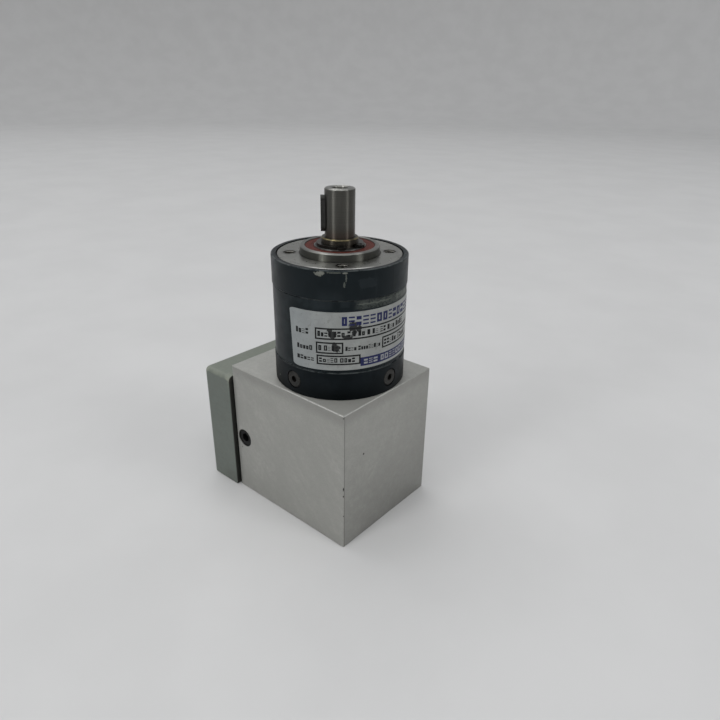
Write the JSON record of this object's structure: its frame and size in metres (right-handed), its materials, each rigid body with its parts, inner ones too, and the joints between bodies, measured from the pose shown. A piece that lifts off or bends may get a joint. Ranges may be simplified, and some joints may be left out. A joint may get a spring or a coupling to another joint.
{
  "type": "planetary gear reducer",
  "caption": "Inline planetary gear reducer: keyed output shaft on a round black body, set on an aluminium motor block with a bolted grey-green side cover.",
  "frame": {"origin": "the output axis where it meets the block's underside, which is the motor face", "axes": "+Z along the output shaft, from the motor face to the shaft's end; -X towards the grey-green side cover; -Y towards the block face with the visible cover screw"},
  "size_m": [0.0861, 0.0604, 0.1418],
  "materials": {
    "machined_aluminium": "fine milled and bead-blasted, satin",
    "grey_green_paint": "grey-green machine paint, semi-matt, worn at the corners",
    "black_anodised": "black oxide on turned steel, satin",
    "satin_steel": "faced steel, satin",
    "dark_shaft_steel": "ground alloy steel, dark",
    "gear_steel": "hardened and ground",
    "bearing_steel": "ground bearing steel",
    "cage_brass": "pressed",
    "bronze": "sintered bronze",
    "black_screw_steel": "black oxide, lightly oiled",
    "black_rubber": "matt",
    "red_brown_seal": "matt moulded rubber",
    "red_elastomer": "matt moulded polyurethane",
    "silver_plate": "printed foil plate, satin"
  },
  "bodies": {
    "housing": {"housing_block": "machined_aluminium", "side_cover": "grey_green_paint", "cover_gasket": "black_rubber", "cover_screws": "black_screw_steel", "input_ring": "black_anodised", "ring_gear": "black_anodised", "output_ring": "black_anodised", "front_flange": "satin_steel", "radial_screws": "black_screw_steel", "name_plate": "silver_plate", "seal_rings": "black_rubber", "rear_bearing_circlip": "black_screw_steel", "input_bearing_circlip": "black_screw_steel", "front_bearing_outer": "bearing_steel", "front_bearing_seals": "red_brown_seal", "rear_bearing_outer": "bearing_steel", "input_bearing_outer": "bearing_steel", "input_bearing_seals": "red_brown_seal"},
    "output": {"output_shaft": "dark_shaft_steel", "shaft_key": "black_screw_steel", "shaft_circlip": "black_screw_steel", "carrier_plate": "dark_shaft_steel", "carrier_screws": "black_screw_steel", "planet_pins": "gear_steel", "planet_washers": "bronze", "front_bearing_inner": "bearing_steel", "rear_bearing_inner": "bearing_steel"},
    "input": {"sun_shaft": "gear_steel", "sun_shaft_circlip": "black_screw_steel", "input_bearing_inner": "bearing_steel", "coupling_hub_motor": "machined_aluminium", "coupling_hub_gear": "machined_aluminium", "coupling_spider": "red_elastomer", "coupling_clamp_screws": "black_screw_steel"},
    "front_balls": {"front_bearing_balls": "bearing_steel", "front_bearing_cage": "cage_brass"},
    "rear_balls": {"rear_bearing_balls": "bearing_steel", "rear_bearing_cage": "cage_brass"},
    "input_balls": {"input_bearing_balls": "bearing_steel", "input_bearing_cage": "cage_brass"},
    "planet_1": {"planet_gear_1": "gear_steel", "planet_bush_1": "bronze"},
    "planet_2": {"planet_gear_2": "gear_steel", "planet_bush_2": "bronze"},
    "planet_3": {"planet_gear_3": "gear_steel", "planet_bush_3": "bronze"}
  },
  "joints": [
    {"name": "output_spin", "type": "hinge", "parent": "housing", "child": "output", "pos_m": [0, 0, 0.12], "axis": [0, 0, 1], "continuous": true},
    {"name": "input_spin", "type": "hinge", "parent": "housing", "child": "input", "pos_m": [0, 0, 0.05], "axis": [0, 0, 1], "continuous": true},
    {"name": "planet_spin_1", "type": "hinge", "parent": "output", "child": "planet_1", "pos_m": [0, 0.0108, 0.086], "axis": [0, 0, 1], "continuous": true},
    {"name": "planet_spin_2", "type": "hinge", "parent": "output", "child": "planet_2", "pos_m": [-0.00935, -0.0054, 0.086], "axis": [0, 0, 1], "continuous": true},
    {"name": "planet_spin_3", "type": "hinge", "parent": "output", "child": "planet_3", "pos_m": [0.00935, -0.0054, 0.086], "axis": [0, 0, 1], "continuous": true},
    {"name": "front_balls_spin", "type": "hinge", "parent": "housing", "child": "front_balls", "pos_m": [0, 0, 0.1154], "axis": [0, 0, 1], "continuous": true},
    {"name": "rear_balls_spin", "type": "hinge", "parent": "housing", "child": "rear_balls", "pos_m": [0, 0, 0.1025], "axis": [0, 0, 1], "continuous": true},
    {"name": "input_balls_spin", "type": "hinge", "parent": "housing", "child": "input_balls", "pos_m": [0, 0, 0.0675], "axis": [0, 0, 1], "continuous": true}
  ],
  "couplings": [
    {"joint": "input_spin", "follows": "output_spin", "ratio": 9},
    {"joint": "planet_spin_1", "follows": "output_spin", "ratio": -2.2857},
    {"joint": "planet_spin_2", "follows": "output_spin", "ratio": -2.2857},
    {"joint": "planet_spin_3", "follows": "output_spin", "ratio": -2.2857},
    {"joint": "front_balls_spin", "follows": "output_spin", "ratio": 0.40226},
    {"joint": "rear_balls_spin", "follows": "output_spin", "ratio": 0.43346},
    {"joint": "input_balls_spin", "follows": "output_spin", "ratio": 3.3503}
  ]
}
